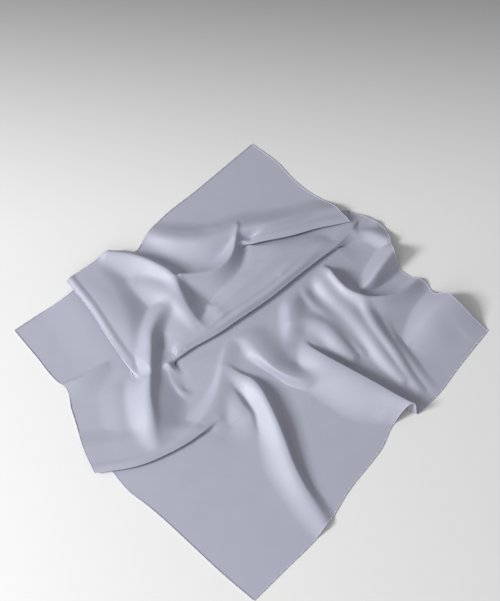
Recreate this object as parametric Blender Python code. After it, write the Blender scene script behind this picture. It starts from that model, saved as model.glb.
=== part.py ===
"""A square silk scarf, 900 mm a side, dropped on a flat surface: one panel of cloth in soft folds, and the
rolled hem along each of its four sides.

The cloth is worked out in two steps. First the square is laid flat inside the outline that the dropped scarf
covers. Then each ridge and each lap of the tables below lifts it and draws it sideways. All sizes are in
millimetres until the meshes are made, which are in metres. X is to the right, Y is away from the viewer and
Z is up, with Z = 0 the surface that the scarf lies on.
"""

import bpy
import numpy as np

# Driving sizes
CLOTH_THICKNESS = 1.2
HEM_RADIUS = 1.0
SEAM_GAP = 0.5
LAYER_RISE = 5.5          # middle of one layer to the middle of the next, where the cloth turns back
LAP_BULGE = 0.25          # how much higher a lap springs just behind its nose
LAP_TAIL = 90             # how far the lower layer stays raised in front of a nose
RIDGE_BLEND = 3.0         # higher keeps crossing ridges apart, lower melts them into one
PANEL_GRID = 401          # places along each side before the flat stretches are thinned out
PANEL_TRIANGLES = 5300    # triangles of the middle surface that stay
HEM_FACES = 6
MILLIMETRE = 0.001

# The point under the middle of the laid scarf's box, which becomes the origin
MIDDLE = (2, -128)

# The laid outline, side by side, before the laps draw it in: x, y
LEFT, TOP, RIGHT, BOTTOM = (-466, -68), (4, 369), (470, -68), (7, -625)
LEFT_TOP_SIDE = [
    LEFT, (-410, -25), (-378, -2), (-356, 24), (-333, 58), (-318, 74), (-302, 87), (-280, 106),
    (-258, 112), (-237, 108), (-215, 138), (-194, 172), (-103, 263), TOP,
]
BOTTOM_RIGHT_SIDE = [
    BOTTOM, (65, -565), (123, -505), (150, -470), (180, -418), (249, -325), (289, -260), (300, -256),
    (312, -254), (354, -219), (412, -143), RIGHT,
]
LEFT_BOTTOM_SIDE = [
    LEFT, (-421, -124), (-373, -182), (-360, -192), (-345, -241), (-323, -298), (-302, -333), (-292, -356),
    (-276, -373), (-258, -388), (-189, -442), (-93, -533), (-56, -569), BOTTOM,
]
TOP_RIGHT_SIDE = [
    TOP, (58, 322), (87, 285), (134, 243), (170, 226), (193, 204), (203, 190), (226, 180), (252, 174),
    (270, 168), (283, 137), (288, 100), (302, 70), (318, 56), (352, 38), (374, 7), (389, 4), (408, -15),
    (432, -37), RIGHT,
]

# Ridges. Each row is a place on the crest, going along it:
# x, y, height, width to the right of it, width to its left, lean to the right
RIDGES = {
    "stack": [
        (-165, -150, 10, 80, 80, 0),
        (-70, -140, 11, 90, 90, 0),
        (20, -115, 8, 90, 90, 0),
        (120, -50, 12, 110, 90, 0),
        (240, -35, 8, 100, 90, 0),
    ],
    "left panel": [
        (-335, 35, 8, 60, 60, 0),
        (-285, -10, 12, 70, 70, 0),
        (-235, -75, 14, 60, 70, 0),
        (-210, -135, 12, 30, 60, 0),
    ],
    "left crest": [
        (-135, -40, 16, 26, 14, 0),
        (-145, -25, 20, 34, 18, 0),
        (-165, -20, 22, 38, 22, 0),
        (-180, -40, 24, 40, 26, 0),
        (-195, -80, 26, 44, 28, -2),
        (-195, -125, 28, 48, 30, -4),
        (-195, -180, 28, 54, 32, -6),
        (-195, -220, 23, 60, 40, -6),
        (-190, -260, 15, 60, 50, -6),
        (-185, -295, 8, 60, 50, -4),
        (-175, -325, 4, 40, 30, 0),
    ],
    "left crest, foot": [
        (-195, -160, 12, 60, 90, 0),
        (-190, -215, 18, 64, 100, 0),
        (-190, -270, 18, 64, 105, 0),
        (-180, -310, 12, 50, 100, 0),
        (-165, -335, 7, 30, 60, 0),
        (-135, -340, 3, 20, 30, 0),
    ],
    "left swell": [
        (-255, -210, 4, 50, 50, 0),
        (-240, -285, 5, 50, 50, 0),
        (-250, -350, 3, 44, 44, 0),
    ],
    "crease of the left flap": [
        (-365, -190, 6, 12, 30, 0),
        (-330, -175, 8, 12, 32, 0),
        (-300, -155, 8, 12, 30, 0),
        (-265, -135, 4, 12, 24, 0),
    ],
    "second fold": [
        (-285, 100, 24, 70, 22, 0),
        (-235, 90, 27, 66, 24, -2),
        (-190, 70, 29, 60, 28, -4),
        (-155, 40, 29, 56, 32, -4),
        (-140, 5, 27, 54, 36, -2),
        (-125, -25, 23, 50, 36, 0),
        (-105, -55, 19, 44, 34, 0),
        (-85, -80, 15, 30, 30, 0),
    ],
    "second fold, lower crest": [
        (-225, 40, 8, 50, 44, 0),
        (-200, 30, 12, 50, 44, 0),
        (-175, 15, 15, 50, 44, 0),
        (-150, -10, 17, 40, 40, 0),
        (-125, -45, 15, 34, 36, 0),
        (-100, -85, 12, 28, 26, 0),
    ],
    "saddle": [
        (-140, 45, 26, 44, 16, 0),
        (-105, 45, 24, 44, 16, 0),
        (-75, 55, 23, 40, 16, 0),
        (-50, 70, 24, 34, 18, 0),
    ],
    "short crease": [
        (-25, 155, 24, 40, 14, 0),
        (-30, 120, 27, 60, 22, 2),
        (-40, 90, 27, 70, 28, 2),
        (-45, 65, 23, 60, 30, 0),
        (-60, 50, 12, 34, 26, 0),
    ],
    "far ridge": [
        (-210, 155, 7, 34, 40, 0),
        (-175, 140, 15, 38, 50, 0),
        (-130, 125, 22, 42, 56, 0),
        (-85, 120, 26, 44, 56, 0),
        (-50, 130, 28, 44, 56, 0),
        (-25, 145, 27, 34, 56, 0),
        (25, 160, 25, 32, 54, 0),
        (85, 180, 20, 28, 46, 0),
        (145, 200, 14, 24, 36, 0),
        (185, 210, 9, 20, 30, 0),
    ],
    "far ripple": [
        (-165, 155, 5, 12, 20, 0),
        (-120, 150, 9, 14, 26, 0),
        (-70, 160, 9, 14, 26, 0),
    ],
    "back of the band": [
        (-30, 10, 8, 50, 50, 0),
        (50, 85, 11, 50, 60, 0),
        (140, 150, 11, 40, 50, 0),
    ],
    "band": [
        (-125, -120, 19, 14, 26, 0),
        (-85, -80, 21, 16, 26, 0),
        (-50, -45, 22, 18, 28, 0),
        (-15, -20, 22, 18, 30, 0),
        (30, 15, 22, 18, 32, 0),
        (85, 65, 22, 18, 34, 0),
        (140, 115, 21, 18, 34, 0),
        (195, 155, 18, 24, 34, 0),
        (245, 185, 12, 40, 30, 0),
    ],
    "band corner": [
        (-80, -35, 15, 30, 22, 0),
        (-65, -50, 18, 30, 28, 0),
        (-55, -65, 18, 26, 34, 0),
    ],
    "band end": [
        (-155, -140, 20, 50, 16, 0),
        (-135, -125, 25, 50, 18, 0),
        (-110, -105, 27, 44, 22, 0),
        (-75, -85, 26, 40, 26, 0),
    ],
    "band foot": [
        (-155, -140, 10, 14, 50, 0),
        (-155, -165, 8, 14, 50, 0),
        (-145, -190, 8, 16, 36, 0),
        (-130, -205, 7, 18, 22, 0),
        (-110, -205, 2, 16, 16, 0),
    ],
    "middle line": [
        (-20, -55, 11, 20, 50, 0),
        (-40, -95, 12, 22, 60, 0),
        (-50, -130, 12, 24, 60, 0),
        (-55, -170, 12, 28, 60, 0),
        (-65, -215, 12, 30, 60, 0),
        (-85, -255, 10, 34, 60, 0),
        (-115, -300, 7, 34, 50, 0),
    ],
    "curl": [
        (-25, -85, 14, 24, 56, 0),
        (0, -100, 21, 38, 60, 2),
        (15, -120, 24, 42, 60, 4),
        (30, -145, 24, 36, 60, 6),
        (45, -165, 22, 28, 50, 6),
        (70, -180, 18, 24, 40, 2),
        (105, -180, 14, 26, 30, 0),
        (150, -180, 5, 30, 26, 0),
    ],
    "pleat": [
        (95, -105, 13, 30, 18, 0),
        (120, -115, 21, 46, 18, -6),
        (145, -135, 26, 60, 18, -12),
        (185, -160, 28, 66, 16, -16),
        (250, -200, 29, 64, 14, -18),
        (280, -220, 30, 44, 14, -18),
        (305, -235, 30, 26, 14, -18),
        (345, -255, 30, 26, 14, -18),
    ],
    "front ridge": [
        (-70, -150, 5, 30, 24, 0),
        (-45, -155, 10, 40, 20, 0),
        (-20, -170, 15, 50, 18, -2),
        (5, -185, 20, 56, 16, -4),
        (20, -205, 23, 48, 18, -8),
        (35, -235, 24, 42, 18, -8),
        (50, -270, 24, 42, 18, -8),
        (65, -310, 21, 44, 18, -8),
        (80, -355, 18, 46, 18, -6),
        (100, -400, 14, 46, 22, -2),
        (125, -445, 10, 44, 28, 0),
        (150, -490, 7, 40, 30, 0),
    ],
    "knob": [
        (-40, -250, 12, 40, 40, 0),
        (-30, -225, 17, 44, 50, 0),
        (-10, -210, 20, 46, 50, 0),
        (10, -215, 18, 40, 30, 0),
    ],
    "fan, first": [
        (65, 30, 14, 24, 50, 0),
        (75, 0, 18, 28, 60, 0),
        (75, -35, 19, 30, 60, 0),
        (75, -70, 17, 30, 50, 0),
        (75, -100, 9, 28, 34, 0),
    ],
    "arch of the fan": [
        (85, -60, 17, 26, 30, 0),
        (115, -60, 22, 38, 34, 0),
        (145, -70, 23, 42, 30, 0),
        (175, -95, 19, 36, 26, 0),
        (200, -125, 9, 26, 20, 0),
    ],
    "fan, thin": [
        (95, 45, 10, 20, 24, 0),
        (115, 0, 11, 22, 26, 0),
        (150, -40, 10, 22, 26, 0),
        (185, -80, 8, 22, 26, 0),
        (220, -115, 4, 20, 22, 0),
    ],
    "fan, second": [
        (125, 75, 17, 30, 34, 0),
        (140, 45, 19, 34, 44, 0),
        (165, 5, 19, 36, 46, 0),
        (200, -35, 17, 36, 42, 0),
        (235, -80, 14, 34, 34, 0),
        (270, -135, 10, 26, 28, 0),
        (300, -175, 6, 20, 22, 0),
    ],
    "fan, third": [
        (190, 20, 17, 30, 30, 0),
        (220, -10, 19, 32, 34, 0),
        (235, -40, 19, 30, 34, 0),
        (255, -75, 17, 28, 32, 0),
        (285, -120, 13, 26, 28, 0),
        (310, -165, 8, 22, 24, 0),
        (330, -195, 4, 18, 20, 0),
    ],
    "rim of the hollow": [
        (145, 80, 24, 36, 26, -2),
        (170, 40, 26, 36, 32, -4),
        (195, 10, 26, 40, 34, -4),
        (225, -5, 25, 50, 34, -6),
        (260, -5, 23, 50, 30, -6),
        (290, 5, 19, 46, 26, -6),
        (320, 30, 14, 40, 24, -2),
        (340, 45, 7, 34, 26, 0),
    ],
    "far wall of the hollow": [
        (185, 140, 14, 26, 40, 0),
        (230, 155, 15, 30, 36, 0),
        (280, 135, 15, 30, 36, 0),
    ],
    "first arch of the hem": [
        (225, 30, 10, 16, 18, 0),
        (240, 40, 18, 24, 24, 0),
        (265, 65, 25, 28, 28, 0),
        (290, 105, 30, 34, 34, 0),
    ],
    "second arch of the hem": [
        (300, -85, 10, 40, 24, 0),
        (320, -75, 17, 60, 38, 0),
        (350, -45, 22, 80, 48, 0),
        (395, -5, 25, 90, 50, 0),
    ],
    "low ridge": [
        (265, -40, 5, 20, 20, 0),
        (285, -90, 7, 20, 20, 0),
        (310, -130, 6, 20, 20, 0),
        (340, -175, 3, 18, 18, 0),
        (360, -200, 1, 16, 18, 0),
    ],
    "shelf": [
        (-125, -55, 12, 30, 60, 0),
        (-130, -90, 13, 30, 60, 0),
        (-140, -125, 13, 26, 60, 0),
    ],
}

# How round a ridge's crest is, as a share of its width, where it isn't 0.4
ROUNDNESS = {
    "stack": 1.0, "left panel": 1.2, "left swell": 1.0, "shelf": 1.2, "back of the band": 1.0, "band": 0.8,
    "far ridge": 0.8, "pleat": 1.2, "short crease": 0.6, "curl": 1.0, "arch of the fan": 1.0, "fan, first": 1.0,
    "knob": 0.8, "left crest, foot": 1.2, "band corner": 1.0, "middle line": 0.5, "fan, thin": 0.8,
    "fan, second": 0.8, "fan, third": 0.6, "low ridge": 1.0, "first arch of the hem": 0.6,
    "second arch of the hem": 0.8,
}

# Laps, where the cloth runs over its own lower layer, turns under and comes back. The lower layer is on the
# right. Each row is a place on the nose of the upper layer, going along it:
# x, y, height, how far the nose is drawn out, how far the turn is drawn under, width of the fall behind it
LAPS = {
    "left lap": [
        (-395, 80, 13, 44, 40, 60),
        (-365, 35, 13, 44, 40, 60),
        (-320, -25, 13, 44, 38, 60),
        (-270, -105, 12, 32, 26, 50),
        (-230, -160, 11, 12, 8, 40),
        (-205, -185, 10, 0, 0, 40),
    ],
    "lap of the band": [
        (-140, -135, 19, 0, 0, 30),
        (-115, -115, 20, 2, 0, 34),
        (-90, -100, 21, 8, 4, 36),
        (-65, -85, 22, 18, 12, 38),
        (-25, -55, 22, 38, 28, 40),
        (40, -5, 22, 46, 32, 44),
        (100, 50, 21, 42, 28, 44),
        (145, 90, 17, 20, 14, 44),
        (180, 125, 13, 0, 0, 40),
    ],
    "far lap": [
        (-25, 130, 11, 0, 0, 22),
        (0, 125, 12, 12, 6, 24),
        (35, 130, 13, 24, 16, 26),
        (80, 145, 13, 28, 20, 30),
        (140, 160, 12, 28, 22, 30),
        (200, 175, 12, 28, 22, 34),
        (230, 185, 12, 28, 22, 34),
    ],
    "near lap": [
        (-325, -380, 11, 42, 34, 50),
        (-290, -375, 11, 42, 34, 50),
        (-210, -360, 12, 42, 34, 50),
        (-155, -340, 12, 36, 26, 44),
        (-100, -305, 13, 26, 18, 44),
        (-70, -275, 13, 14, 10, 40),
        (-50, -255, 12, 4, 0, 40),
        (-35, -235, 11, 0, 0, 40),
    ],
}
LAP_LOOPS = {"left lap": 22, "lap of the band": 24, "far lap": 18, "near lap": 20}


def dome(distance):
    """A smooth hump, 1 at its middle and 0 at a distance of 1."""
    return (1 - np.clip(np.abs(distance), 0, 1) ** 2) ** 2


def fold(distance, roundness):
    """Height of a fold of height 1 at a distance from its crest, as a share of its width: a rounded crest
    between two hollow flanks."""
    slope = (np.sqrt(distance**2 + roundness**2) - roundness) / (np.sqrt(1 + roundness**2) - roundness)
    return (1 - np.clip(slope, 0, 1)) ** 2


def ease(x):
    """Rises smoothly from 0 to 1 as x does."""
    x = np.clip(x, 0, 1)
    return x * x * (3 - 2 * x)


def curve(rows, shares):
    """A smooth curve through rows of numbers, read at shares of its length in plan."""
    rows = np.array(rows, float)
    lengths = np.linalg.norm(np.diff(rows[:, :2], axis=0), axis=1)
    at = np.concatenate([[0], np.cumsum(lengths)]) / lengths.sum()
    spans = np.diff(at)[:, None]
    slopes = np.diff(rows, axis=0) / spans
    tangents = np.concatenate([slopes[:1], slopes[:-1], slopes[-1:]])
    tangents[1:-1] = (slopes[:-1] * spans[1:] + slopes[1:] * spans[:-1]) / (spans[1:] + spans[:-1])
    first = np.clip(np.searchsorted(at, shares, side="right") - 1, 0, len(rows) - 2)
    span = spans[first]
    x = ((shares - at[first])[:, None]) / span
    return (rows[first] * (2 * x**3 - 3 * x**2 + 1) + tangents[first] * span * (x**3 - 2 * x**2 + x)
            + rows[first + 1] * (3 * x**2 - 2 * x**3) + tangents[first + 1] * span * (x**3 - x**2))


def nearest(rows, places, margin):
    """For the places near a path: which they are, how far to its right, its columns there, its right."""
    path = curve(rows, np.linspace(0, 1, 49))
    points, steps = path[:, :2], np.diff(path[:, :2], axis=0)
    close = ((places > points.min(0) - margin) & (places < points.max(0) + margin)).all(1).nonzero()[0]
    away = places[close][:, None] - points[None, :-1]
    along = np.clip((away * steps).sum(2) / (steps**2).sum(1), 0, 1)
    away = away - along[..., None] * steps
    best = (away**2).sum(2).argmin(1)
    each = np.arange(len(close))
    along, away = along[each, best][:, None], away[each, best]
    columns = path[best, 2:] * (1 - along) + path[best + 1, 2:] * along
    rights = np.stack([steps[:, 1], -steps[:, 0]], 1) / np.linalg.norm(steps, axis=1)[:, None]
    at_points = np.concatenate([rights[:1], rights[:-1] + rights[1:], rights[-1:]])
    at_points /= np.linalg.norm(at_points, axis=1)[:, None]
    right = at_points[best] * (1 - along) + at_points[best + 1] * along
    side = np.where((away * rights[best]).sum(1) < 0, -1, 1)
    return close, side * np.linalg.norm(away, axis=1), columns, right


def laid_out(across, up):
    """The flat square inside the laid outline: across runs left to top, up runs left to bottom, 0 to 1."""
    a, b = across[:, None], up[:, None]
    sides = ((1 - b) * curve(LEFT_TOP_SIDE, across) + b * curve(BOTTOM_RIGHT_SIDE, across)
             + (1 - a) * curve(LEFT_BOTTOM_SIDE, up) + a * curve(TOP_RIGHT_SIDE, up))
    corners = ((1 - a) * (1 - b) * np.array(LEFT) + a * (1 - b) * np.array(TOP)
               + (1 - a) * b * np.array(BOTTOM) + a * b * np.array(RIGHT))
    return sides - corners


def raise_ridge(rows, roundness, places, free, move, lift):
    """Adds one ridge to the sideways moves and to the lift, as far as the laps leave the cloth free."""
    close, distance, columns, right = nearest(rows, places, 110)
    height, right_width, left_width, lean = columns.T
    distance = distance + lean
    share = distance / np.where(distance > 0, right_width, left_width)
    lift[close] += (height * fold(share, roundness) * free[close]) ** RIDGE_BLEND
    move[close] += (lean * dome(share) * free[close])[:, None] * right


def lay_lap(rows, loop, places, free, move, lift):
    """Adds one lap: draws the nose out over the lower layer, the turn under it, and keeps both pressed."""
    close, distance, columns, right = nearest(rows, places, 180)
    height, reach, tuck, fall = columns.T
    past_nose = distance + reach
    past_turn = past_nose - loop
    nose = dome(past_nose / np.where(past_nose < 0, fall + 0.8 * reach, loop))
    turn = dome(past_turn / np.where(past_turn > 0, 40 + tuck, loop))
    shift = reach * nose - tuck * turn
    move[close] += shift[:, None] * right
    lands = distance + shift
    overlap = np.maximum(reach + tuck - loop, 0)
    lapped = np.clip((reach + tuck) / (0.9 * loop), 0, 1)
    bulge = LAP_BULGE * np.clip(reach / 40, 0, 1) * dome((past_nose + 9) / 9)
    upper = height * ease((lands + overlap + fall) / fall) * (1 + bulge)
    doubled = ((height - 2 * LAYER_RISE) * ease(-past_turn / loop) + LAYER_RISE * (1 - ease(past_nose / 6))
               + LAYER_RISE * ease((3 - past_turn) / 6))
    rise = 0.85 * np.maximum(height - 2 * LAYER_RISE, 0) * ease((lands + overlap) / np.maximum(overlap, 1))
    doubled = np.maximum(doubled, 0) + np.where(past_turn > 0, rise * (1 - ease(lands / LAP_TAIL)), 0)
    middle = lapped * doubled + (1 - lapped) * height * ease(-past_turn / loop)
    pressed = np.where(past_nose < 0, 1 - ease(-past_nose / 20), np.where(lands < 0, 1, 1 - ease(lands / 40)))
    lap_lift = np.where(past_nose < 0, upper, middle)
    lift[close] += lap_lift**RIDGE_BLEND
    free[close] *= 1 - lapped * pressed


def cloth(across, up):
    """The middle of the cloth's thickness, in millimetres, at shares of the square's two directions."""
    places = laid_out(across, up)
    drawn, lean = np.zeros_like(places), np.zeros_like(places)
    lift, free = np.zeros(len(places)), np.ones(len(places))
    for name, rows in LAPS.items():
        lay_lap(rows, LAP_LOOPS[name], places, free, drawn, lift)
    places = places + drawn
    for name, rows in RIDGES.items():
        raise_ridge(rows, ROUNDNESS.get(name, 0.4), places, free, lean, lift)
    height = lift ** (1 / RIDGE_BLEND) + CLOTH_THICKNESS / 2
    return np.column_stack([places + lean - np.array(MIDDLE), height])


def silk(name, colour, roughness):
    """The woven silk, as one plain material."""
    material = bpy.data.materials.new(name)
    material.use_nodes = True
    shader = material.node_tree.nodes["Principled BSDF"]
    shader.inputs["Base Color"].default_value = (*colour, 1)
    shader.inputs["Roughness"].default_value = roughness
    shader.inputs["Metallic"].default_value = 0
    return material


def add_object(name, vertices, faces, material):
    """One named object from points in millimetres."""
    mesh = bpy.data.meshes.new(name)
    mesh.from_pydata((np.array(vertices) * MILLIMETRE).tolist(), [], faces)
    mesh.materials.append(material)
    mesh.shade_smooth()
    built = bpy.data.objects.new(name, mesh)
    bpy.context.collection.objects.link(built)
    return built


def make_panel(material):
    """The cloth's middle surface with its flat stretches thinned out, which Solidify makes a wall."""
    count = PANEL_GRID
    shares = np.linspace(0, 1, count)
    across, up = [grid.ravel() for grid in np.meshgrid(shares, shares, indexing="ij")]
    faces = []
    for i in range(count - 1):
        for j in range(count - 1):
            corner = i * count + j
            faces.append((corner, corner + 1, corner + count + 1, corner + count))
    panel = add_object("silk_panel", cloth(across, up), faces, material)
    thin_out = panel.modifiers.new("thin out", "DECIMATE")
    thin_out.ratio = PANEL_TRIANGLES / (2 * len(faces))
    bpy.context.view_layer.update()
    thinned = bpy.data.meshes.new_from_object(panel.evaluated_get(bpy.context.evaluated_depsgraph_get()))
    panel.modifiers.remove(thin_out)
    panel.data = thinned
    for vertex in thinned.vertices:
        vertex.co.z = max(vertex.co.z, CLOTH_THICKNESS / 2 * MILLIMETRE)
    wall = panel.modifiers.new("wall", "SOLIDIFY")
    wall.thickness = CLOTH_THICKNESS * MILLIMETRE
    wall.offset = 0
    return panel


def edge_walk(mesh):
    """The panel's open edge, once round: the vertex numbers in order."""
    uses = {}
    for polygon in mesh.polygons:
        for edge in polygon.edge_keys:
            uses[edge] = uses.get(edge, 0) + 1
    neighbours = {}
    for first, second in [edge for edge, count in uses.items() if count == 1]:
        neighbours.setdefault(first, []).append(second)
        neighbours.setdefault(second, []).append(first)
    start = min(neighbours, key=lambda number: mesh.vertices[number].co.x)
    walk = [start, max(neighbours[start], key=lambda number: mesh.vertices[number].co.y)]
    while walk[-1] != start:
        before, here = walk[-2:]
        walk.append([number for number in neighbours[here] if number != before][0])
    return walk[:-1]


def make_hem(name, mesh, walk, start, end, material):
    """A rolled hem: a round bead beside the panel's edge, from one corner to the next."""
    numbers = walk[start:end + 1]
    points = np.array([mesh.vertices[number].co for number in numbers]) / MILLIMETRE
    normals = np.array([mesh.vertices[number].normal for number in numbers])
    steps = np.diff(points, axis=0)
    steps /= np.linalg.norm(steps, axis=1)[:, None]
    ahead = np.concatenate([steps[:1], steps[:-1] + steps[1:], steps[-1:]])
    ahead /= np.linalg.norm(ahead, axis=1)[:, None]
    out = np.cross(normals, ahead)
    out /= np.linalg.norm(out, axis=1)[:, None]
    upright = np.cross(ahead, out)
    centres = points + out * (SEAM_GAP + HEM_RADIUS)
    centres[:, 2] = np.maximum(centres[:, 2] + HEM_RADIUS - CLOTH_THICKNESS / 2, HEM_RADIUS)
    centres[-1] += ahead[-1] * (SEAM_GAP + 2 * HEM_RADIUS)
    angles = (np.arange(HEM_FACES) + 0.5) * 2 * np.pi / HEM_FACES
    rings = (centres[:, None] + HEM_RADIUS * (np.cos(angles)[None, :, None] * out[:, None]
                                              + np.sin(angles)[None, :, None] * upright[:, None]))
    faces = [tuple(range(HEM_FACES))[::-1], tuple((len(centres) - 1) * HEM_FACES + k for k in range(HEM_FACES))]
    for ring in range(len(centres) - 1):
        for k in range(HEM_FACES):
            near, far = ring * HEM_FACES + k, ring * HEM_FACES + (k + 1) % HEM_FACES
            faces.append((near, far, far + HEM_FACES, near + HEM_FACES))
    return add_object(name, rings.reshape(-1, 3), faces, material)


for existing in list(bpy.data.objects):
    bpy.data.objects.remove(existing, do_unlink=True)

panel_silk = silk("silk satin", (0.46, 0.47, 0.56), 0.45)
hem_silk = silk("rolled silk hem", (0.50, 0.51, 0.60), 0.5)
silk_panel = make_panel(panel_silk)
panel_mesh = silk_panel.data
panel_edge = edge_walk(panel_mesh)


def corner_place(corner):
    """Where on the walk round the edge a corner of the square is."""
    target = (np.array(corner) - np.array(MIDDLE)) * MILLIMETRE
    gaps = [np.hypot(*(np.array(panel_mesh.vertices[number].co[:2]) - target)) for number in panel_edge]
    return int(np.argmin(gaps))


top, right, bottom = [corner_place(corner) for corner in (TOP, RIGHT, BOTTOM)]
closed_walk = panel_edge + panel_edge[:1]
make_hem("hem_left_top", panel_mesh, closed_walk, 0, top, hem_silk)
make_hem("hem_top_right", panel_mesh, closed_walk, top, right, hem_silk)
make_hem("hem_right_bottom", panel_mesh, closed_walk, right, bottom, hem_silk)
make_hem("hem_bottom_left", panel_mesh, closed_walk, bottom, len(panel_edge), hem_silk)
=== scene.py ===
"""The looks of a square silk scarf that lies dropped in soft folds: a thin satin sheet, its rolled hems and
their stitches, on a pale studio floor.

The sheet and the hems follow the same ridges and laps as the solids they replace. Sizes are in millimetres
until a mesh is made, which is in metres. X is to the right, Y away from the viewer, Z up from the floor.
"""

import math

import bpy
import numpy as np
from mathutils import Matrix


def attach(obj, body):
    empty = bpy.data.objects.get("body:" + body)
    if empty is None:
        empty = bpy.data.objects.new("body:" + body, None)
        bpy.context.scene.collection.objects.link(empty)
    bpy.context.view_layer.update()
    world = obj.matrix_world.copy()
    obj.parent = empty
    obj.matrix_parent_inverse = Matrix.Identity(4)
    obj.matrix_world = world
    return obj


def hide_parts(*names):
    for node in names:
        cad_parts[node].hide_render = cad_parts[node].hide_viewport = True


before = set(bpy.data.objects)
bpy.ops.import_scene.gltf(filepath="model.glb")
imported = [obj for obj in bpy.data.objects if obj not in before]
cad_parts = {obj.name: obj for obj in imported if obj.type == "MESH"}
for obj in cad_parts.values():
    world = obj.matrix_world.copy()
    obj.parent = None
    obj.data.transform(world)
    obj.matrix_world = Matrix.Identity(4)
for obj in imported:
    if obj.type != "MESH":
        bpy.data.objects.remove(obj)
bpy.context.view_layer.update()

# Driving sizes
CUT = 0.9                 # metres along each side of the square that was cut
CLOTH_THICKNESS = 0.5
MIDDLE_ABOVE_FLOOR = 0.4
HEM_RADIUS = 0.9
STITCH_PITCH = 18
STITCH_SLANT = math.radians(28)
STITCH_RADIUS = 0.81      # middle of the thread, where a stitch goes round the roll
THREAD_RADIUS = 0.4
MILLIMETRE = 0.001

# Ridges
RIDGE_BLEND = 3.0         # higher keeps crossing ridges apart, lower melts them into one
PLAIN_ROUNDNESS = 0.4     # the roundness of a ridge that the ROUNDNESS table doesn't name
RIDGE_MARGIN = 110        # how far around its path a ridge is worked out

# Laps
LAP_MARGIN = 180          # how far around its path a lap is worked out
LAYER_RISE = 3.5          # middle of one layer to the middle of the next, where the cloth turns back
FULL_LAP = 0.9            # share of its loop that a lap is drawn by before the cloth turns under
NOSE_FOLLOW = 0.8         # how much further back the cloth follows a nose, as a share of its reach
TURN_FOLLOW = 40          # how far the lower layer follows the turn, at least
NOSE_BEND = 6             # how far the bend of a nose, or of the turn under it, goes
LAP_BULGE = 0.25          # how much higher a lap springs just behind its nose
BULGE_WIDTH = 9
BULGE_REACH = 40          # the reach at which a nose springs up in full
LOWER_SHARE = 0.85        # share of a lap's height that the layer in front of it is raised by
LAP_TAIL = 90             # how far that layer stays raised in front of a nose
PRESSED_BEHIND = 20       # how far behind a nose, and in front of it, ridges are pressed flat
PRESSED_IN_FRONT = 40

# Meshes
PATH_POINTS = 49          # points worked out along each ridge and lap
SHEET_GRID = 481          # places along each side before the flat stretches are thinned out
SHEET_TRIANGLES = 88000   # triangles of the middle surface that stay
HEM_STEP = 2.0
HEM_INSET = 0.004         # step in from the edge that gives the way out of the cloth, as a share of a side
HEM_OVERHANG = 0.7        # how far outside the edge the roll's middle is, as a share of its radius
ROLL_PINCH = 0.35         # how much thinner the roll is at a stitch
ROLL_SIDES = 10
STITCH_SIDES = 14
THREAD_SIDES = 6
SHARP_EDGE = math.radians(50)

# Looks
SLUB_SIZE = 40            # size of the dye's faint unevenness, and of the weave's relief
WEAVE_SIZE = 2.5
# Painted shade on the paper: it turns from white to grey towards the back, standing in for the light falling
# off there
PAINTED_SHADE_FROM = 0.25     # metres back from the middle of the scarf, where the painted shade on the paper starts
PAINTED_SHADE_FULL = 1.3

# The point under the middle of the laid scarf's box, which becomes the origin
MIDDLE = (2, -128)

# The laid outline, side by side, before the laps draw it in: x, y
LEFT, TOP, RIGHT, BOTTOM = (-466, -68), (4, 369), (470, -68), (7, -625)
LEFT_TOP_SIDE = [
    LEFT, (-410, -25), (-378, -2), (-356, 24), (-333, 58), (-318, 74), (-302, 87), (-280, 106),
    (-258, 112), (-237, 108), (-215, 138), (-194, 172), (-103, 263), TOP,
]
BOTTOM_RIGHT_SIDE = [
    BOTTOM, (65, -565), (123, -505), (150, -470), (180, -418), (249, -325), (289, -260), (300, -256),
    (312, -254), (354, -219), (412, -143), RIGHT,
]
LEFT_BOTTOM_SIDE = [
    LEFT, (-421, -124), (-373, -182), (-360, -192), (-345, -241), (-323, -298), (-302, -333), (-292, -356),
    (-276, -373), (-258, -388), (-189, -442), (-93, -533), (-56, -569), BOTTOM,
]
TOP_RIGHT_SIDE = [
    TOP, (58, 322), (87, 285), (134, 243), (170, 226), (193, 204), (203, 190), (226, 180), (252, 174),
    (270, 168), (283, 137), (288, 100), (302, 70), (318, 56), (352, 38), (374, 7), (389, 4), (408, -15),
    (432, -37), RIGHT,
]

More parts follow.
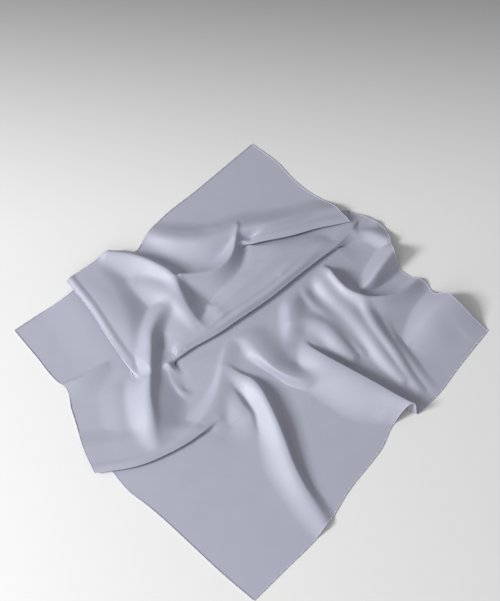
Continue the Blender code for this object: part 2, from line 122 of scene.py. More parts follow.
# Ridges. Each row is a place on the crest, going along it:
# x, y, height, width to the right of it, width to its left, lean to the right
RIDGES = {
    "stack": [
        (-165, -150, 12, 90, 90, 0),
        (-70, -130, 14, 100, 100, 0),
        (20, -105, 13, 100, 100, 0),
        (120, -50, 14, 105, 100, 0),
        (240, -40, 10, 100, 100, 0),
    ],
    "left panel": [
        (-335, 35, 8, 60, 60, 0),
        (-285, -10, 12, 70, 70, 0),
        (-235, -75, 14, 60, 70, 0),
        (-210, -135, 12, 30, 60, 0),
    ],
    "left crest": [
        (-155, -10, 9, 28, 40, 0),
        (-165, -20, 15, 36, 46, 0),
        (-180, -40, 20, 40, 46, 0),
        (-195, -80, 26, 44, 38, -2),
        (-195, -125, 29, 48, 32, -4),
        (-195, -180, 30, 54, 32, -6),
        (-195, -220, 28, 60, 34, -6),
        (-190, -260, 23, 60, 36, -6),
        (-185, -295, 15, 60, 36, -4),
        (-175, -325, 6, 40, 30, 0),
    ],
    "left crest, foot": [
        (-195, -160, 12, 60, 80, 0),
        (-190, -215, 18, 64, 76, 0),
        (-190, -270, 18, 64, 72, 0),
        (-180, -310, 12, 50, 70, 0),
        (-165, -335, 7, 30, 50, 0),
        (-135, -340, 3, 20, 30, 0),
    ],
    "left swell": [
        (-255, -210, 4, 50, 50, 0),
        (-240, -285, 5, 50, 50, 0),
        (-250, -350, 3, 44, 44, 0),
    ],
    "crease of the left flap": [
        (-365, -190, 4, 44, 12, 0),
        (-330, -175, 7, 48, 11, 0),
        (-300, -155, 7, 48, 11, 0),
        (-265, -130, 3, 40, 12, 0),
    ],
    "second fold": [
        (-285, 100, 24, 70, 24, 0),
        (-235, 90, 27, 66, 28, -2),
        (-190, 70, 29, 62, 34, -4),
        (-155, 45, 28, 68, 42, -4),
        (-140, 10, 25, 72, 50, -2),
        (-125, -25, 22, 66, 50, 0),
        (-105, -55, 19, 56, 44, 0),
        (-85, -80, 15, 36, 34, 0),
    ],
    "second fold, lower crest": [
        (-225, 40, 8, 50, 44, 0),
        (-200, 30, 12, 50, 44, 0),
        (-175, 15, 15, 50, 44, 0),
        (-150, -10, 17, 40, 40, 0),
        (-125, -45, 15, 34, 36, 0),
        (-100, -85, 12, 28, 26, 0),
    ],
    "short crease": [
        (-25, 160, 18, 36, 20, 0),
        (-30, 125, 21, 44, 26, 0),
        (-35, 100, 22, 44, 34, 0),
        (-50, 75, 22, 40, 44, 0),
        (-70, 60, 22, 34, 52, 0),
        (-105, 50, 23, 26, 54, 0),
        (-140, 45, 26, 20, 50, 0),
    ],
    "far ridge": [
        (-210, 155, 7, 34, 40, 0),
        (-175, 140, 15, 38, 50, 0),
        (-130, 130, 20, 46, 56, 0),
        (-85, 130, 23, 50, 56, 0),
        (-55, 140, 24, 50, 56, 0),
        (-25, 150, 24, 34, 56, 0),
        (25, 160, 26, 36, 54, 0),
        (85, 180, 21, 32, 46, 0),
        (145, 205, 14, 28, 36, 0),
        (185, 210, 9, 24, 30, 0),
    ],
    "far ripple": [
        (-165, 155, 5, 12, 20, 0),
        (-120, 150, 9, 14, 26, 0),
        (-70, 160, 9, 14, 26, 0),
    ],
    "back of the band": [
        (-30, 10, 8, 50, 50, 0),
        (50, 85, 11, 50, 60, 0),
        (140, 150, 11, 40, 50, 0),
    ],
    "band": [
        (-125, -120, 19, 14, 26, 0),
        (-85, -80, 21, 16, 26, 0),
        (-50, -45, 22, 18, 28, 0),
        (-15, -20, 22, 18, 30, 0),
        (30, 15, 22, 18, 32, 0),
        (85, 65, 22, 18, 34, 0),
        (140, 115, 21, 18, 34, 0),
        (195, 155, 18, 24, 34, 0),
        (245, 185, 12, 40, 30, 0),
    ],
    "band corner": [
        (-70, -25, 12, 30, 26, 0),
        (-60, -40, 14, 30, 30, 0),
        (-50, -60, 14, 26, 34, 0),
    ],
    "band end": [
        (-155, -140, 16, 50, 16, 0),
        (-135, -125, 20, 50, 18, 0),
        (-110, -105, 24, 44, 22, 0),
        (-75, -85, 25, 40, 26, 0),
    ],
    "band foot": [
        (-155, -140, 10, 14, 50, 0),
        (-155, -165, 8, 14, 50, 0),
        (-145, -190, 8, 16, 36, 0),
        (-130, -205, 7, 18, 22, 0),
        (-110, -205, 2, 16, 16, 0),
    ],
    "middle line": [
        (-20, -55, 13, 16, 50, 0),
        (-40, -95, 13, 18, 60, 0),
        (-50, -130, 13, 22, 60, 0),
        (-55, -170, 12, 26, 60, 0),
        (-65, -215, 12, 30, 60, 0),
        (-85, -255, 10, 34, 60, 0),
        (-115, -300, 7, 34, 50, 0),
    ],
    "curl": [
        (-25, -85, 13, 26, 66, 0),
        (0, -100, 20, 44, 76, 2),
        (15, -120, 23, 46, 80, 4),
        (30, -140, 22, 30, 76, 6),
        (50, -160, 19, 18, 60, 6),
        (80, -175, 17, 18, 50, 2),
        (110, -180, 14, 22, 36, 0),
        (150, -180, 5, 26, 26, 0),
    ],
    "pleat": [
        (100, -95, 4, 30, 24, 0),
        (120, -115, 18, 46, 18, -6),
        (145, -135, 26, 60, 18, -12),
        (185, -160, 28, 66, 16, -16),
        (250, -200, 29, 64, 14, -18),
        (280, -220, 30, 44, 14, -18),
        (305, -235, 30, 26, 14, -18),
        (345, -255, 30, 26, 14, -18),
    ],
    "front ridge": [
        (-70, -150, 5, 30, 24, 0),
        (-45, -155, 10, 40, 20, 0),
        (-20, -170, 15, 50, 18, 0),
        (5, -185, 20, 50, 18, 0),
        (20, -205, 23, 44, 20, -2),
        (35, -235, 24, 44, 22, -2),
        (50, -270, 24, 44, 22, -4),
        (65, -310, 21, 48, 20, -6),
        (80, -355, 18, 50, 20, -6),
        (100, -400, 14, 50, 22, -2),
        (125, -445, 10, 48, 28, 0),
        (150, -490, 7, 40, 30, 0),
    ],
    "knob": [
        (-45, -185, 4, 44, 20, 0),
        (-30, -210, 9, 54, 22, 0),
        (-15, -235, 11, 56, 22, 0),
        (0, -255, 9, 54, 20, 0),
        (5, -275, 5, 48, 18, 0),
        (15, -300, 1, 40, 16, 0),
    ],
    "fan, first": [
        (65, 30, 14, 26, 50, 0),
        (75, -5, 20, 34, 60, 0),
        (80, -35, 22, 36, 60, 0),
        (80, -70, 20, 36, 50, 0),
        (75, -100, 9, 30, 34, 0),
    ],
    "arch of the fan": [
        (85, -60, 14, 26, 32, 0),
        (115, -55, 18, 38, 38, 0),
        (145, -65, 19, 42, 36, 0),
        (175, -95, 16, 36, 32, 0),
        (200, -125, 8, 26, 24, 0),
    ],
    "fan, thin": [
        (95, 45, 10, 20, 24, 0),
        (115, 0, 11, 22, 26, 0),
        (150, -40, 10, 22, 26, 0),
        (185, -80, 8, 22, 26, 0),
        (220, -115, 4, 20, 22, 0),
    ],
    "fan, second": [
        (125, 75, 17, 30, 34, 0),
        (140, 45, 19, 34, 44, 0),
        (165, 5, 19, 36, 46, 0),
        (200, -35, 17, 36, 42, 0),
        (235, -80, 14, 34, 34, 0),
        (270, -135, 10, 26, 28, 0),
        (300, -175, 6, 20, 22, 0),
    ],
    "fan, third": [
        (190, 20, 17, 30, 30, 0),
        (220, -10, 19, 32, 34, 0),
        (235, -40, 19, 30, 34, 0),
        (255, -75, 17, 28, 32, 0),
        (285, -120, 13, 26, 28, 0),
        (310, -165, 8, 22, 24, 0),
        (330, -195, 4, 18, 20, 0),
    ],
    "rim of the hollow": [
        (145, 80, 26, 36, 20, -2),
        (170, 40, 28, 36, 22, -4),
        (195, 10, 28, 40, 24, -4),
        (225, -5, 28, 50, 24, -6),
        (260, -5, 26, 50, 22, -6),
        (290, 5, 21, 46, 20, -6),
        (320, 25, 15, 40, 20, -2),
        (340, 45, 7, 34, 22, 0),
    ],
    "far wall of the hollow": [
        (185, 140, 12, 26, 40, 0),
        (230, 155, 13, 30, 36, 0),
        (280, 135, 13, 30, 36, 0),
    ],
    "first arch of the hem": [
        (220, 20, 7, 14, 22, 0),
        (240, 35, 19, 22, 30, 0),
        (260, 60, 28, 26, 36, 0),
        (290, 100, 33, 32, 40, 0),
    ],
    "second arch of the hem": [
        (315, -105, 1, 40, 36, 0),
        (330, -85, 9, 60, 44, 0),
        (350, -60, 19, 80, 50, 0),
        (375, -30, 27, 95, 54, 0),
        (405, -5, 32, 100, 56, 0),
    ],
    "low ridge": [
        (265, -40, 5, 20, 20, 0),
        (285, -90, 7, 20, 20, 0),
        (310, -130, 6, 20, 20, 0),
        (340, -175, 3, 18, 18, 0),
        (360, -200, 1, 16, 18, 0),
    ],
    "shelf": [
        (-120, -40, 17, 90, 60, 0),
        (-120, -85, 18, 100, 60, 0),
        (-135, -125, 15, 70, 60, 0),
    ],
}

# How round a ridge's crest is, as a share of its width
ROUNDNESS = {
    "stack": 1.0, "left panel": 1.2, "left swell": 1.0, "shelf": 1.2, "back of the band": 1.0, "band": 0.8,
    "far ridge": 0.5, "pleat": 1.2, "short crease": 0.08, "curl": 1.0, "arch of the fan": 1.0, "knob": 0.6,
    "fan, first": 1.0, "fan, second": 0.8, "fan, third": 0.6, "fan, thin": 0.8, "second fold": 0.12,
    "rim of the hollow": 0.2, "left crest, foot": 1.2, "band corner": 1.0, "middle line": 0.5,
    "low ridge": 1.0, "first arch of the hem": 0.6, "second arch of the hem": 0.8,
}

# Laps, where the cloth runs over its own lower layer, turns under and comes back. The lower layer is on the
# right. Each row is a place on the nose of the upper layer, going along it:
# x, y, height, how far the nose is drawn out, how far the turn is drawn under, width of the fall behind it
LAPS = {
    "left lap": [
        (-395, 80, 13, 44, 40, 60),
        (-365, 35, 13, 44, 40, 60),
        (-320, -25, 13, 44, 38, 60),
        (-270, -105, 12, 32, 26, 50),
        (-230, -160, 11, 12, 8, 40),
        (-205, -185, 10, 0, 0, 40),
    ],
    "lap of the band": [
        (-160, -150, 14, 0, 0, 26),
        (-150, -140, 16, 10, 6, 28),
        (-135, -130, 18, 22, 14, 32),
        (-115, -115, 19, 26, 18, 34),
        (-90, -100, 20, 28, 20, 36),
        (-65, -85, 21, 32, 24, 38),
        (-25, -55, 22, 38, 28, 40),
        (40, -5, 22, 46, 32, 44),
        (100, 50, 21, 42, 28, 44),
        (145, 90, 18, 28, 18, 44),
        (180, 120, 15, 12, 8, 42),
        (210, 150, 11, 0, 0, 40),
    ],
    "far lap": [
        (-25, 130, 12, 0, 0, 22),
        (0, 125, 15, 12, 6, 24),
        (35, 130, 17, 24, 16, 26),
        (80, 140, 17, 28, 20, 30),
        (140, 160, 15, 28, 22, 30),
        (200, 175, 13, 28, 22, 34),
        (230, 185, 12, 28, 22, 34),
    ],
    "near lap": [
        (-325, -380, 9, 40, 32, 46),
        (-290, -375, 9, 40, 32, 46),
        (-210, -360, 9.5, 40, 32, 46),
        (-155, -335, 9.5, 34, 26, 44),
        (-115, -310, 9.5, 26, 18, 42),
        (-85, -285, 9, 12, 8, 40),
        (-60, -260, 4, 0, 0, 36),
    ],
}
LAP_LOOPS = {"left lap": 22, "lap of the band": 24, "far lap": 18, "near lap": 20}


def dome(distance):
    """A smooth hump, 1 at its middle and 0 at a distance of 1."""
    return (1 - np.clip(np.abs(distance), 0, 1) ** 2) ** 2


def fold(distance, roundness):
    """Height of a fold of height 1 at a distance from its crest, as a share of its width: a rounded crest
    between two hollow flanks."""
    slope = (np.sqrt(distance**2 + roundness**2) - roundness) / (np.sqrt(1 + roundness**2) - roundness)
    return (1 - np.clip(slope, 0, 1)) ** 2


def ease(x):
    """Rises smoothly from 0 to 1 as x does."""
    x = np.clip(x, 0, 1)
    return x * x * (3 - 2 * x)


def curve(rows, shares):
    """A smooth curve through rows of numbers, read at shares of its length in plan."""
    rows = np.array(rows, float)
    lengths = np.linalg.norm(np.diff(rows[:, :2], axis=0), axis=1)
    at = np.concatenate([[0], np.cumsum(lengths)]) / lengths.sum()
    spans = np.diff(at)[:, None]
    slopes = np.diff(rows, axis=0) / spans
    tangents = np.concatenate([slopes[:1], slopes[:-1], slopes[-1:]])
    tangents[1:-1] = (slopes[:-1] * spans[1:] + slopes[1:] * spans[:-1]) / (spans[1:] + spans[:-1])
    first = np.clip(np.searchsorted(at, shares, side="right") - 1, 0, len(rows) - 2)
    span = spans[first]
    x = ((shares - at[first])[:, None]) / span
    return (rows[first] * (2 * x**3 - 3 * x**2 + 1) + tangents[first] * span * (x**3 - 2 * x**2 + x)
            + rows[first + 1] * (3 * x**2 - 2 * x**3) + tangents[first + 1] * span * (x**3 - x**2))


def nearest(rows, places, margin):
    """For the places near a path: which they are, how far to its right, its columns there, its right."""
    path = curve(rows, np.linspace(0, 1, PATH_POINTS))
    points, steps = path[:, :2], np.diff(path[:, :2], axis=0)
    close = ((places > points.min(0) - margin) & (places < points.max(0) + margin)).all(1).nonzero()[0]
    away = places[close][:, None] - points[None, :-1]
    along = np.clip((away * steps).sum(2) / (steps**2).sum(1), 0, 1)
    away = away - along[..., None] * steps
    best = (away**2).sum(2).argmin(1)
    each = np.arange(len(close))
    along, away = along[each, best][:, None], away[each, best]
    columns = path[best, 2:] * (1 - along) + path[best + 1, 2:] * along
    rights = np.stack([steps[:, 1], -steps[:, 0]], 1) / np.linalg.norm(steps, axis=1)[:, None]
    at_points = np.concatenate([rights[:1], rights[:-1] + rights[1:], rights[-1:]])
    at_points /= np.linalg.norm(at_points, axis=1)[:, None]
    right = at_points[best] * (1 - along) + at_points[best + 1] * along
    side = np.where((away * rights[best]).sum(1) < 0, -1, 1)
    return close, side * np.linalg.norm(away, axis=1), columns, right


def laid_out(across, up):
    """The flat square inside the laid outline: across runs left to top, up runs left to bottom, 0 to 1."""
    a, b = across[:, None], up[:, None]
    sides = ((1 - b) * curve(LEFT_TOP_SIDE, across) + b * curve(BOTTOM_RIGHT_SIDE, across)
             + (1 - a) * curve(LEFT_BOTTOM_SIDE, up) + a * curve(TOP_RIGHT_SIDE, up))
    corners = ((1 - a) * (1 - b) * np.array(LEFT) + a * (1 - b) * np.array(TOP)
               + (1 - a) * b * np.array(BOTTOM) + a * b * np.array(RIGHT))
    return sides - corners


def raise_ridge(rows, roundness, places, free, move, lift):
    """Adds one ridge to the sideways moves and to the lift, as far as the laps leave the cloth free."""
    close, distance, columns, right = nearest(rows, places, RIDGE_MARGIN)
    height, right_width, left_width, lean = columns.T
    distance = distance + lean
    share = distance / np.where(distance > 0, right_width, left_width)
    lift[close] += (height * fold(share, roundness) * free[close]) ** RIDGE_BLEND
    move[close] += (lean * dome(share) * free[close])[:, None] * right


def lay_lap(rows, loop, places, free, move, lift):
    """Adds one lap: draws the nose out over the lower layer, the turn under it, and keeps both pressed."""
    close, distance, columns, right = nearest(rows, places, LAP_MARGIN)
    height, reach, tuck, fall = columns.T
    past_nose = distance + reach
    past_turn = past_nose - loop
    nose = dome(past_nose / np.where(past_nose < 0, fall + NOSE_FOLLOW * reach, loop))
    turn = dome(past_turn / np.where(past_turn > 0, TURN_FOLLOW + tuck, loop))
    shift = reach * nose - tuck * turn
    move[close] += shift[:, None] * right
    lands = distance + shift
    overlap = np.maximum(reach + tuck - loop, 0)
    lapped = np.clip((reach + tuck) / (FULL_LAP * loop), 0, 1)
    bulge = LAP_BULGE * np.clip(reach / BULGE_REACH, 0, 1) * dome((past_nose + BULGE_WIDTH) / BULGE_WIDTH)
    upper = height * ease((lands + overlap + fall) / fall) * (1 + bulge)
    lowest = height - 2 * LAYER_RISE
    doubled = (lowest * ease(-past_turn / loop) + LAYER_RISE * (1 - ease(past_nose / NOSE_BEND))
               + LAYER_RISE * ease((NOSE_BEND / 2 - past_turn) / NOSE_BEND))
    rise = LOWER_SHARE * np.maximum(lowest, 0) * ease((lands + overlap) / np.maximum(overlap, 1))
    doubled = np.maximum(doubled, 0) + np.where(past_turn > 0, rise * (1 - ease(lands / LAP_TAIL)), 0)
    middle = lapped * doubled + (1 - lapped) * height * ease(-past_turn / loop)
    behind = 1 - ease(-past_nose / PRESSED_BEHIND)
    in_front = np.where(lands < 0, 1, 1 - ease(lands / PRESSED_IN_FRONT))
    pressed = np.where(past_nose < 0, behind, in_front)
    lap_lift = np.where(past_nose < 0, upper, middle)
    lift[close] += lap_lift**RIDGE_BLEND
    free[close] *= 1 - lapped * pressed


def cloth(across, up):
    """The middle of the cloth's thickness, in millimetres, at shares of the square's two directions."""
    places = laid_out(across, up)
    drawn, lean = np.zeros_like(places), np.zeros_like(places)
    lift, free = np.zeros(len(places)), np.ones(len(places))
    for name, rows in LAPS.items():
        lay_lap(rows, LAP_LOOPS[name], places, free, drawn, lift)
    places = places + drawn
    for name, rows in RIDGES.items():
        raise_ridge(rows, ROUNDNESS.get(name, PLAIN_ROUNDNESS), places, free, lean, lift)
    height = lift ** (1 / RIDGE_BLEND) + MIDDLE_ABOVE_FLOOR
    return np.column_stack([places + lean - np.array(MIDDLE), height])


def linear(hex_colour):
    """The linear colour for an sRGB hex value, with full alpha."""
    channels = [int(hex_colour[i:i + 2], 16) / 255 for i in (1, 3, 5)]
    return [c / 12.92 if c <= 0.04045 else ((c + 0.055) / 1.055) ** 2.4 for c in channels] + [1.0]


def add_node(tree, kind, settings=None, inputs=None):
    """Adds a node to a tree, with its settings, and its inputs given values or links."""
    node = tree.nodes.new(kind)
    for name, value in (settings or {}).items():
        setattr(node, name, value)
    for name, value in (inputs or {}).items():
        socket = node.inputs[name] if isinstance(name, int) else next(
            socket for socket in node.inputs if socket.enabled and socket.name == name)
        if isinstance(value, bpy.types.NodeSocket):
            tree.links.new(value, socket)
        else:
            socket.default_value = value
    return node


def new_material(name, inputs):
    """An empty material with a Principled shader that has these inputs: itself, its tree and its shader."""
    material = bpy.data.materials.new(name)
    material.use_nodes = True
    tree = material.node_tree
    tree.nodes.clear()
    shader = add_node(tree, "ShaderNodeBsdfPrincipled", inputs=inputs)
    add_node(tree, "ShaderNodeOutputMaterial", inputs={"Surface": shader.outputs["BSDF"]})
    return material, tree, shader


def silk_satin():
    """Silk satin, woven with long floats and piece-dyed a pale lavender grey: smooth and softly glossy."""
    material, tree, shader = new_material("silk satin, woven and piece-dyed", {
        "Base Color": linear("#A9ABBB"), "Roughness": 0.5, "IOR": 1.5, "Specular IOR Level": 0.8,
        "Sheen Weight": 0.1, "Sheen Roughness": 0.4,
    })
    places = add_node(tree, "ShaderNodeTexCoord")
    slub = add_node(tree, "ShaderNodeTexNoise", inputs={
        "Vector": places.outputs["Object"], "Scale": 1 / (SLUB_SIZE * MILLIMETRE), "Detail": 3})
    tint = add_node(tree, "ShaderNodeMix", {"data_type": "RGBA"}, {
        "Factor": slub.outputs["Fac"], "A": linear("#A6A8B8"), "B": linear("#ACAEBE")})
    tree.links.new(tint.outputs[2], shader.inputs["Base Color"])
    weave = add_node(tree, "ShaderNodeTexNoise", inputs={
        "Vector": places.outputs["Object"], "Scale": 1 / (WEAVE_SIZE * MILLIMETRE), "Detail": 2})
    bump = add_node(tree, "ShaderNodeBump", inputs={
        "Height": weave.outputs["Fac"], "Strength": 0.08, "Distance": 0.0002})
    tree.links.new(bump.outputs["Normal"], shader.inputs["Normal"])
    return material


def rolled_edge_silk():
    """The same silk rolled and sewn by hand into a bead, a touch duller, with a paler colour painted in to
    lift the shade that falls along the roll.
    """
    return new_material("silk satin, rolled and hand-sewn, painted paler", {
        # The paler base colour is painted light: it lifts the shade on the roll's underside
        "Base Color": linear("#B4B6C6"), "Roughness": 0.7, "IOR": 1.5, "Specular IOR Level": 0.3,
        "Sheen Weight": 0.2,
    })[0]


def silk_thread():
    """Two-ply silk sewing thread, spun: its near-white colour is a painted highlight, the glint that the
    stitches catch where they stand proud of the roll.
    """
    return new_material("silk sewing thread, painted highlight", {
        # Painted highlight: the thread's near-white colour stands in for the light caught by the proud
        # stitches
        "Base Color": linear("#ECEDF6"), "Roughness": 0.45, "Sheen Weight": 0.3,
    })[0]


def paper_with_painted_shade():
    """Matt background paper, rolled out under the scarf, with painted shade that darkens it from white to
    grey at the back, where the light falls off.
    """
    material, tree, shader = new_material("matt background paper, painted shade at the back", {
        "Roughness": 0.9, "Specular IOR Level": 0.1,
    })
    places = add_node(tree, "ShaderNodeTexCoord")
    axes = add_node(tree, "ShaderNodeSeparateXYZ", inputs={"Vector": places.outputs["Object"]})
    # Painted shade: the paper's colour is darkened towards the back, where the light falls off
    fade = add_node(tree, "ShaderNodeMapRange", {"interpolation_type": "SMOOTHSTEP"}, {
        "Value": axes.outputs["Y"], "From Min": PAINTED_SHADE_FROM, "From Max": PAINTED_SHADE_FULL})
    shade = add_node(tree, "ShaderNodeMix", {"data_type": "RGBA"}, {
        "Factor": fade.outputs["Result"], "A": linear("#E8E8E8"), "B": linear("#666666")})
    tree.links.new(shade.outputs[2], shader.inputs["Base Color"])
    return material


def add_piece(name, vertices, faces, material):
    """One named object from points in millimetres."""
    mesh = bpy.data.meshes.new(name)
    mesh.from_pydata((np.array(vertices) * MILLIMETRE).tolist(), [], faces)
    mesh.materials.append(material)
    mesh.shade_smooth()
    piece = bpy.data.objects.new(name, mesh)
    bpy.context.scene.collection.objects.link(piece)
    return piece


def settled(piece):
    """Gives the piece its evaluated mesh and takes its modifiers off."""
    bpy.context.view_layer.update()
    mesh = bpy.data.meshes.new_from_object(piece.evaluated_get(bpy.context.evaluated_depsgraph_get()))
    piece.modifiers.clear()
    piece.data = mesh
    mesh.shade_smooth()
    mesh.set_sharp_from_angle(angle=SHARP_EDGE)
    return piece


def make_sheet(material):
    """The satin sheet: the folded middle surface, thinned out where it is flat, with its thickness."""
    count = SHEET_GRID
    shares = np.linspace(0, 1, count)
    across, up = [grid.ravel() for grid in np.meshgrid(shares, shares, indexing="ij")]
    corners = (np.arange(count - 1)[:, None] * count + np.arange(count - 1)).ravel()
    faces = np.stack([corners, corners + 1, corners + count + 1, corners + count], 1).tolist()
    sheet = add_piece("satin_sheet", cloth(across, up), faces, material)
    thin_out = sheet.modifiers.new("thin out", "DECIMATE")
    thin_out.ratio = SHEET_TRIANGLES / (2 * len(faces))
    wall = sheet.modifiers.new("wall", "SOLIDIFY")
    wall.thickness = CLOTH_THICKNESS * MILLIMETRE
    wall.offset = 0
    return settled(sheet)


def hem_line(side):
    """The middle line of the rolled hem along one side of the square, just outside the cloth's edge."""
    shares = np.linspace(0, 1, int(CUT / MILLIMETRE / HEM_STEP))
    near, inside = np.zeros_like(shares), np.full_like(shares, HEM_INSET)
    across, up, across_in, up_in = {
        "left_top": (shares, near, shares, inside),
        "top_right": (near + 1, shares, 1 - inside, shares),
        "right_bottom": (1 - shares, near + 1, 1 - shares, 1 - inside),
        "bottom_left": (near, 1 - shares, inside, 1 - shares),
    }[side]
    edge, inner = cloth(across, up), cloth(across_in, up_in)
    ahead = np.gradient(edge, axis=0)
    ahead /= np.linalg.norm(ahead, axis=1)[:, None]
    out = edge - inner
    out -= (out * ahead).sum(1)[:, None] * ahead
    out /= np.linalg.norm(out, axis=1)[:, None]
    line = edge + out * HEM_RADIUS * HEM_OVERHANG
    line[:, 2] = np.maximum(line[:, 2], STITCH_RADIUS + THREAD_RADIUS)
    return line


def hem_tree(roll_material):
    """Geometry Nodes: a line becomes a rolled hem, pinched in at every stitch."""
    tree = bpy.data.node_groups.new("rolled hem along a line", "GeometryNodeTree")
    tree.is_modifier = True
    tree.interface.new_socket("Line", in_out="INPUT", socket_type="NodeSocketGeometry")
    for name in ("Roll Radius", "Stitch Pitch", "Pinch"):
        tree.interface.new_socket(name, in_out="INPUT", socket_type="NodeSocketFloat")
    tree.interface.new_socket("Hem", in_out="OUTPUT", socket_type="NodeSocketGeometry")
    given = add_node(tree, "NodeGroupInput")
    line = add_node(tree, "GeometryNodeMeshToCurve", inputs={"Mesh": given.outputs["Line"]})
    place = add_node(tree, "GeometryNodeSplineParameter")
    turns = add_node(tree, "ShaderNodeMath", {"operation": "DIVIDE"}, {
        0: place.outputs["Length"], 1: given.outputs["Stitch Pitch"]})
    angle = add_node(tree, "ShaderNodeMath", {"operation": "MULTIPLY"}, {
        0: turns.outputs[0], 1: 2 * math.pi})
    wave = add_node(tree, "ShaderNodeMath", {"operation": "COSINE"}, {0: angle.outputs[0]})
    peak = add_node(tree, "ShaderNodeMath", {"operation": "MAXIMUM"}, {0: wave.outputs[0], 1: 0.0})
    narrow = add_node(tree, "ShaderNodeMath", {"operation": "POWER"}, {0: peak.outputs[0], 1: 4.0})
    pinch = add_node(tree, "ShaderNodeMath", {"operation": "MULTIPLY"}, {
        0: narrow.outputs[0], 1: given.outputs["Pinch"]})
    share = add_node(tree, "ShaderNodeMath", {"operation": "SUBTRACT"}, {0: 1.0, 1: pinch.outputs[0]})
    radius = add_node(tree, "ShaderNodeMath", {"operation": "MULTIPLY"}, {
        0: share.outputs[0], 1: given.outputs["Roll Radius"]})
    profile = add_node(tree, "GeometryNodeCurvePrimitiveCircle", inputs={
        "Resolution": ROLL_SIDES, "Radius": 1.0})
    roll = add_node(tree, "GeometryNodeCurveToMesh", inputs={
        "Curve": line.outputs["Curve"], "Profile Curve": profile.outputs["Curve"],
        "Scale": radius.outputs[0], "Fill Caps": True})
    whole = add_node(tree, "GeometryNodeRealizeInstances", inputs={"Geometry": roll.outputs["Mesh"]})
    dressed = add_node(tree, "GeometryNodeSetMaterial", inputs={
        "Geometry": whole.outputs["Geometry"], "Material": roll_material})
    add_node(tree, "NodeGroupOutput", inputs={"Hem": dressed.outputs["Geometry"]})
    return tree


def stitch_tree(thread_material):
    """Geometry Nodes: a slanting stitch over the roll at every pitch along a line."""
    tree = bpy.data.node_groups.new("stitches along a line", "GeometryNodeTree")
    tree.is_modifier = True
    tree.interface.new_socket("Line", in_out="INPUT", socket_type="NodeSocketGeometry")
    for name in ("Roll Radius", "Stitch Pitch", "Thread Radius"):
        tree.interface.new_socket(name, in_out="INPUT", socket_type="NodeSocketFloat")
    tree.interface.new_socket("Stitches", in_out="OUTPUT", socket_type="NodeSocketGeometry")
    given = add_node(tree, "NodeGroupInput")
    line = add_node(tree, "GeometryNodeMeshToCurve", inputs={"Mesh": given.outputs["Line"]})
    places = add_node(tree, "GeometryNodeCurveToPoints", {"mode": "LENGTH"}, {
        "Curve": line.outputs["Curve"], "Length": given.outputs["Stitch Pitch"]})
    ring = add_node(tree, "GeometryNodeCurvePrimitiveCircle", inputs={
        "Resolution": STITCH_SIDES, "Radius": given.outputs["Roll Radius"]})
    thread = add_node(tree, "GeometryNodeCurvePrimitiveCircle", inputs={
        "Resolution": THREAD_SIDES, "Radius": given.outputs["Thread Radius"]})
    loop = add_node(tree, "GeometryNodeCurveToMesh", inputs={
        "Curve": ring.outputs["Curve"], "Profile Curve": thread.outputs["Curve"]})
    slant = add_node(tree, "FunctionNodeRotateRotation", {"rotation_space": "LOCAL"}, {
        "Rotation": places.outputs["Rotation"], "Rotate By": (STITCH_SLANT, 0, 0)})
    stitches = add_node(tree, "GeometryNodeInstanceOnPoints", inputs={
        "Points": places.outputs["Points"], "Instance": loop.outputs["Mesh"],
        "Rotation": slant.outputs["Rotation"]})
    whole = add_node(tree, "GeometryNodeRealizeInstances", inputs={"Geometry": stitches.outputs["Instances"]})
    dressed = add_node(tree, "GeometryNodeSetMaterial", inputs={
        "Geometry": whole.outputs["Geometry"], "Material": thread_material})
    add_node(tree, "NodeGroupOutput", inputs={"Stitches": dressed.outputs["Geometry"]})
    return tree


def along_lines(name, lines, tree, sizes):
    """A piece that a Geometry Nodes tree makes from lines of points."""
    vertices, edges = [], []
    for line in lines:
        first = len(vertices)
        vertices.extend(line.tolist())
        edges.extend((first + i, first + i + 1) for i in range(len(line) - 1))
    mesh = bpy.data.meshes.new(name)
    mesh.from_pydata((np.array(vertices) * MILLIMETRE).tolist(), edges, [])
    piece = bpy.data.objects.new(name, mesh)
    bpy.context.scene.collection.objects.link(piece)
    nodes = piece.modifiers.new("made along a line", "NODES")
    nodes.node_group = tree
    for socket in tree.interface.items_tree:
        if socket.name in sizes:
            nodes[socket.identifier] = float(sizes[socket.name])
    return settled(piece)


def make_hems(roll_material, thread_material):
    """The four rolled hems and all their stitches."""
    sides = ("left_top", "top_right", "right_bottom", "bottom_left")
    lines = {side: hem_line(side) for side in sides}
    rolling, stitching = hem_tree(roll_material), stitch_tree(thread_material)
    roll_sizes = {
        "Roll Radius": HEM_RADIUS * MILLIMETRE, "Stitch Pitch": STITCH_PITCH * MILLIMETRE,
        "Pinch": ROLL_PINCH}
    hems = {side: along_lines(f"rolled_hem_{side}", [lines[side]], rolling, roll_sizes) for side in sides}
    stitches = along_lines("hem_stitches", list(lines.values()), stitching, {
        "Roll Radius": STITCH_RADIUS * MILLIMETRE, "Stitch Pitch": STITCH_PITCH * MILLIMETRE,
        "Thread Radius": THREAD_RADIUS * MILLIMETRE})
    return hems, stitches


# The photograph's camera: a long lens looking down at 62 degrees
CAMERA_PITCH = math.radians(62)
CAMERA_DISTANCE = 3.7
FOCAL_PIXELS = 1850
PICTURE_HEIGHT = 601
SENSOR_HEIGHT = 24

# The studio
LIT_POINT = (0, 0.1, 0)   # metres, where both softboxes point
FLOOR_HALF = 6000         # half the floor's side
FILL_STRENGTH = 0.36


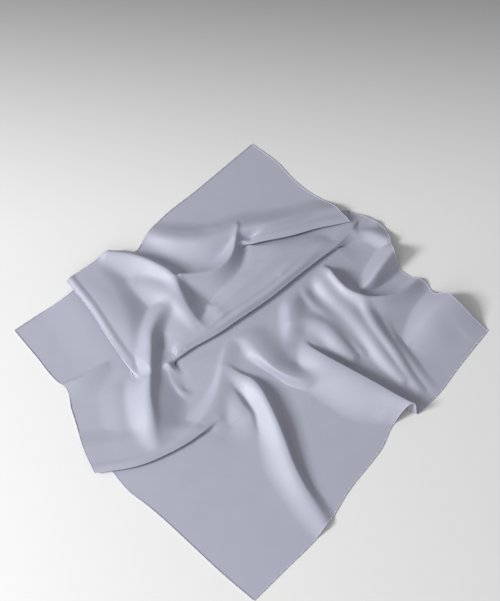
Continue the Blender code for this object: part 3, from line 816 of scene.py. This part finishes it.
def place_camera():
    """Aims the camera at the plan point that the folds' tables are measured from."""
    data = bpy.data.cameras.new("camera")
    data.sensor_fit = "VERTICAL"
    data.sensor_height = SENSOR_HEIGHT
    data.lens = FOCAL_PIXELS / PICTURE_HEIGHT * SENSOR_HEIGHT
    camera = bpy.data.objects.new("camera", data)
    camera.location = (
        -MIDDLE[0] * MILLIMETRE,
        -MIDDLE[1] * MILLIMETRE - CAMERA_DISTANCE * math.cos(CAMERA_PITCH),
        CAMERA_DISTANCE * math.sin(CAMERA_PITCH),
    )
    camera.rotation_euler = (math.pi / 2 - CAMERA_PITCH, 0, 0)
    bpy.context.scene.collection.objects.link(camera)
    bpy.context.scene.camera = camera


def add_light(name, place, size, watts):
    """A square white softbox at a place, facing the scarf."""
    data = bpy.data.lights.new(name, "AREA")
    data.size = size
    data.energy = watts
    light = bpy.data.objects.new(name, data)
    light.location = place
    aim = np.array(LIT_POINT) - np.array(place)
    light.rotation_euler = (
        math.atan2(math.hypot(aim[0], aim[1]), -aim[2]), 0, math.atan2(aim[1], aim[0]) - math.pi / 2)
    bpy.context.scene.collection.objects.link(light)


def make_studio():
    """A pale floor, a softbox low on the left, a weaker one in front, and a dim even fill."""
    half = FLOOR_HALF
    floor = add_piece("floor", [(-half, -half, 0), (half, -half, 0), (half, half, 0), (-half, half, 0)],
                      [(0, 1, 2, 3)], paper_with_painted_shade())
    add_light("softbox", (-3.5, -1.1, 2.3), size=1.2, watts=180)
    add_light("front softbox", (-1.8, -3.4, 2.2), size=2.4, watts=40)
    world = bpy.data.worlds.new("studio")
    world.use_nodes = True
    background = world.node_tree.nodes["Background"]
    background.inputs["Color"].default_value = linear("#FFFFFF")
    background.inputs["Strength"].default_value = FILL_STRENGTH
    bpy.context.scene.world = world
    bpy.context.scene.view_settings.view_transform = "Standard"


place_camera()
make_studio()

satin_sheet = make_sheet(silk_satin())
hems, hem_stitches = make_hems(rolled_edge_silk(), silk_thread())

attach(satin_sheet, "root")
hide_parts("silk_panel")
for side, hem in hems.items():
    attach(hem, "root")
    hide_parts(f"hem_{side}")
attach(hem_stitches, "root")
